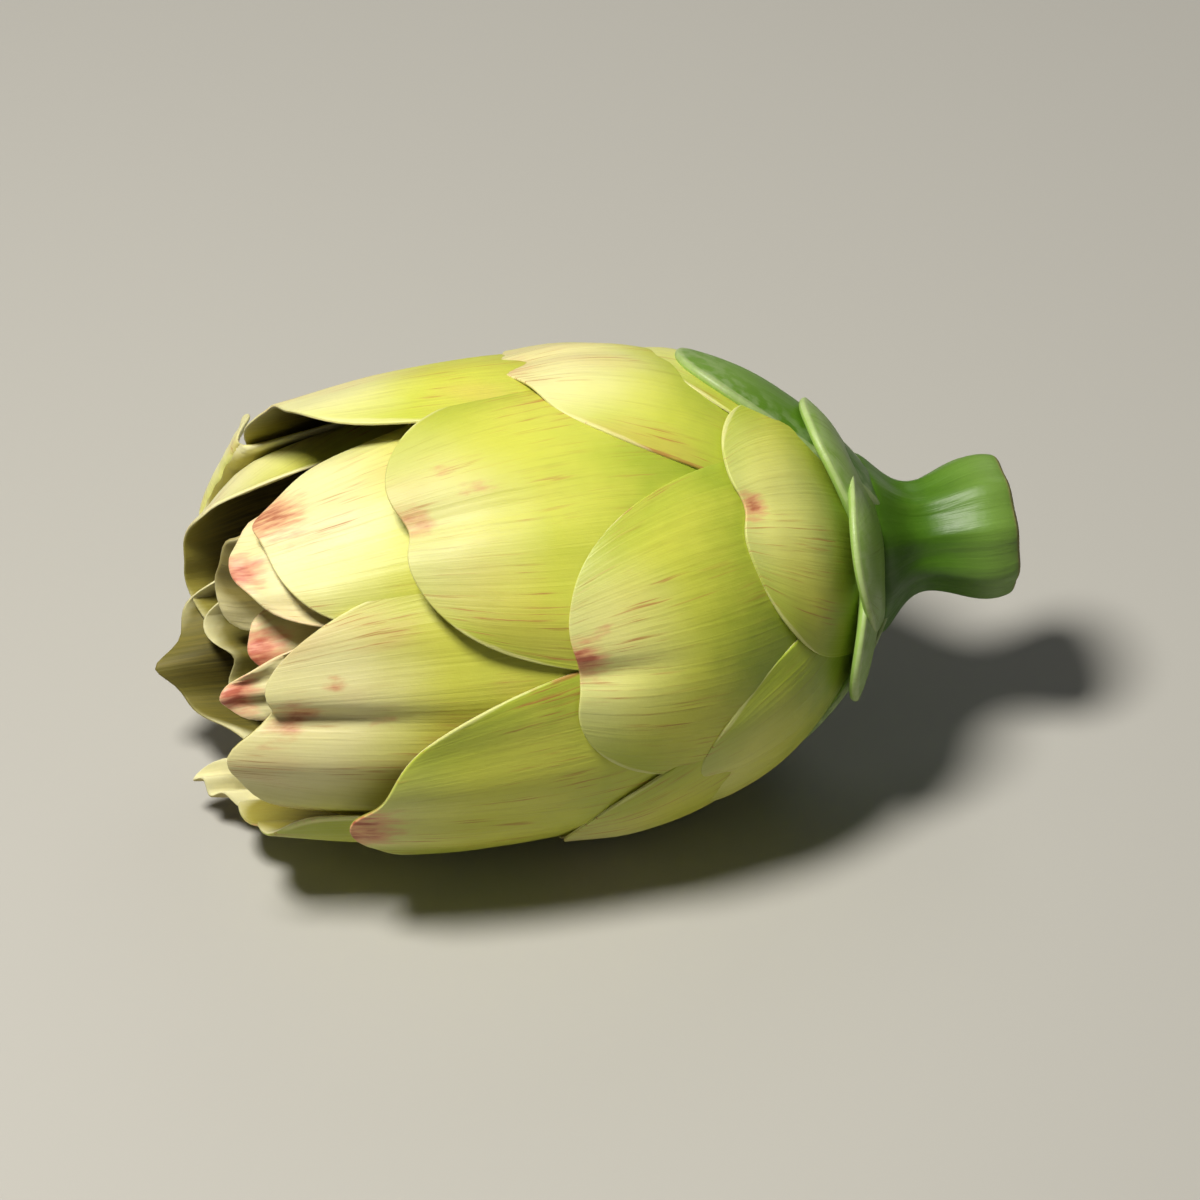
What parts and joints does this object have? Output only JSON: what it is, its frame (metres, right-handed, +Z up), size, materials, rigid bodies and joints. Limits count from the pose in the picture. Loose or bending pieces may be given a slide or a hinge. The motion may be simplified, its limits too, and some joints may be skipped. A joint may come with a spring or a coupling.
{
  "type": "artichoke",
  "caption": "Globe artichoke lying on its side, with a short cut stem, overlapping fleshy bracts and an open crown of small inner bracts.",
  "frame": {"origin": "middle of the bounding box, on the surface that the artichoke lies on", "axes": "+X along the artichoke's axis towards the cut stem, -X towards the crown, +Z up as it lies, -Y the side that shows best"},
  "size_m": [0.1526, 0.096, 0.087],
  "materials": {
    "stem": "waxy mid green, softly shining plant flesh",
    "head": "waxy yellow-green bracts, paler at their edges, with fine red-brown streaks",
    "inner_bracts": "thin cream bracts with pink tips"
  },
  "bodies": {
    "root": {"stem": "stem", "head": "head", "inner_bracts": "inner_bracts"}
  },
  "joints": []
}
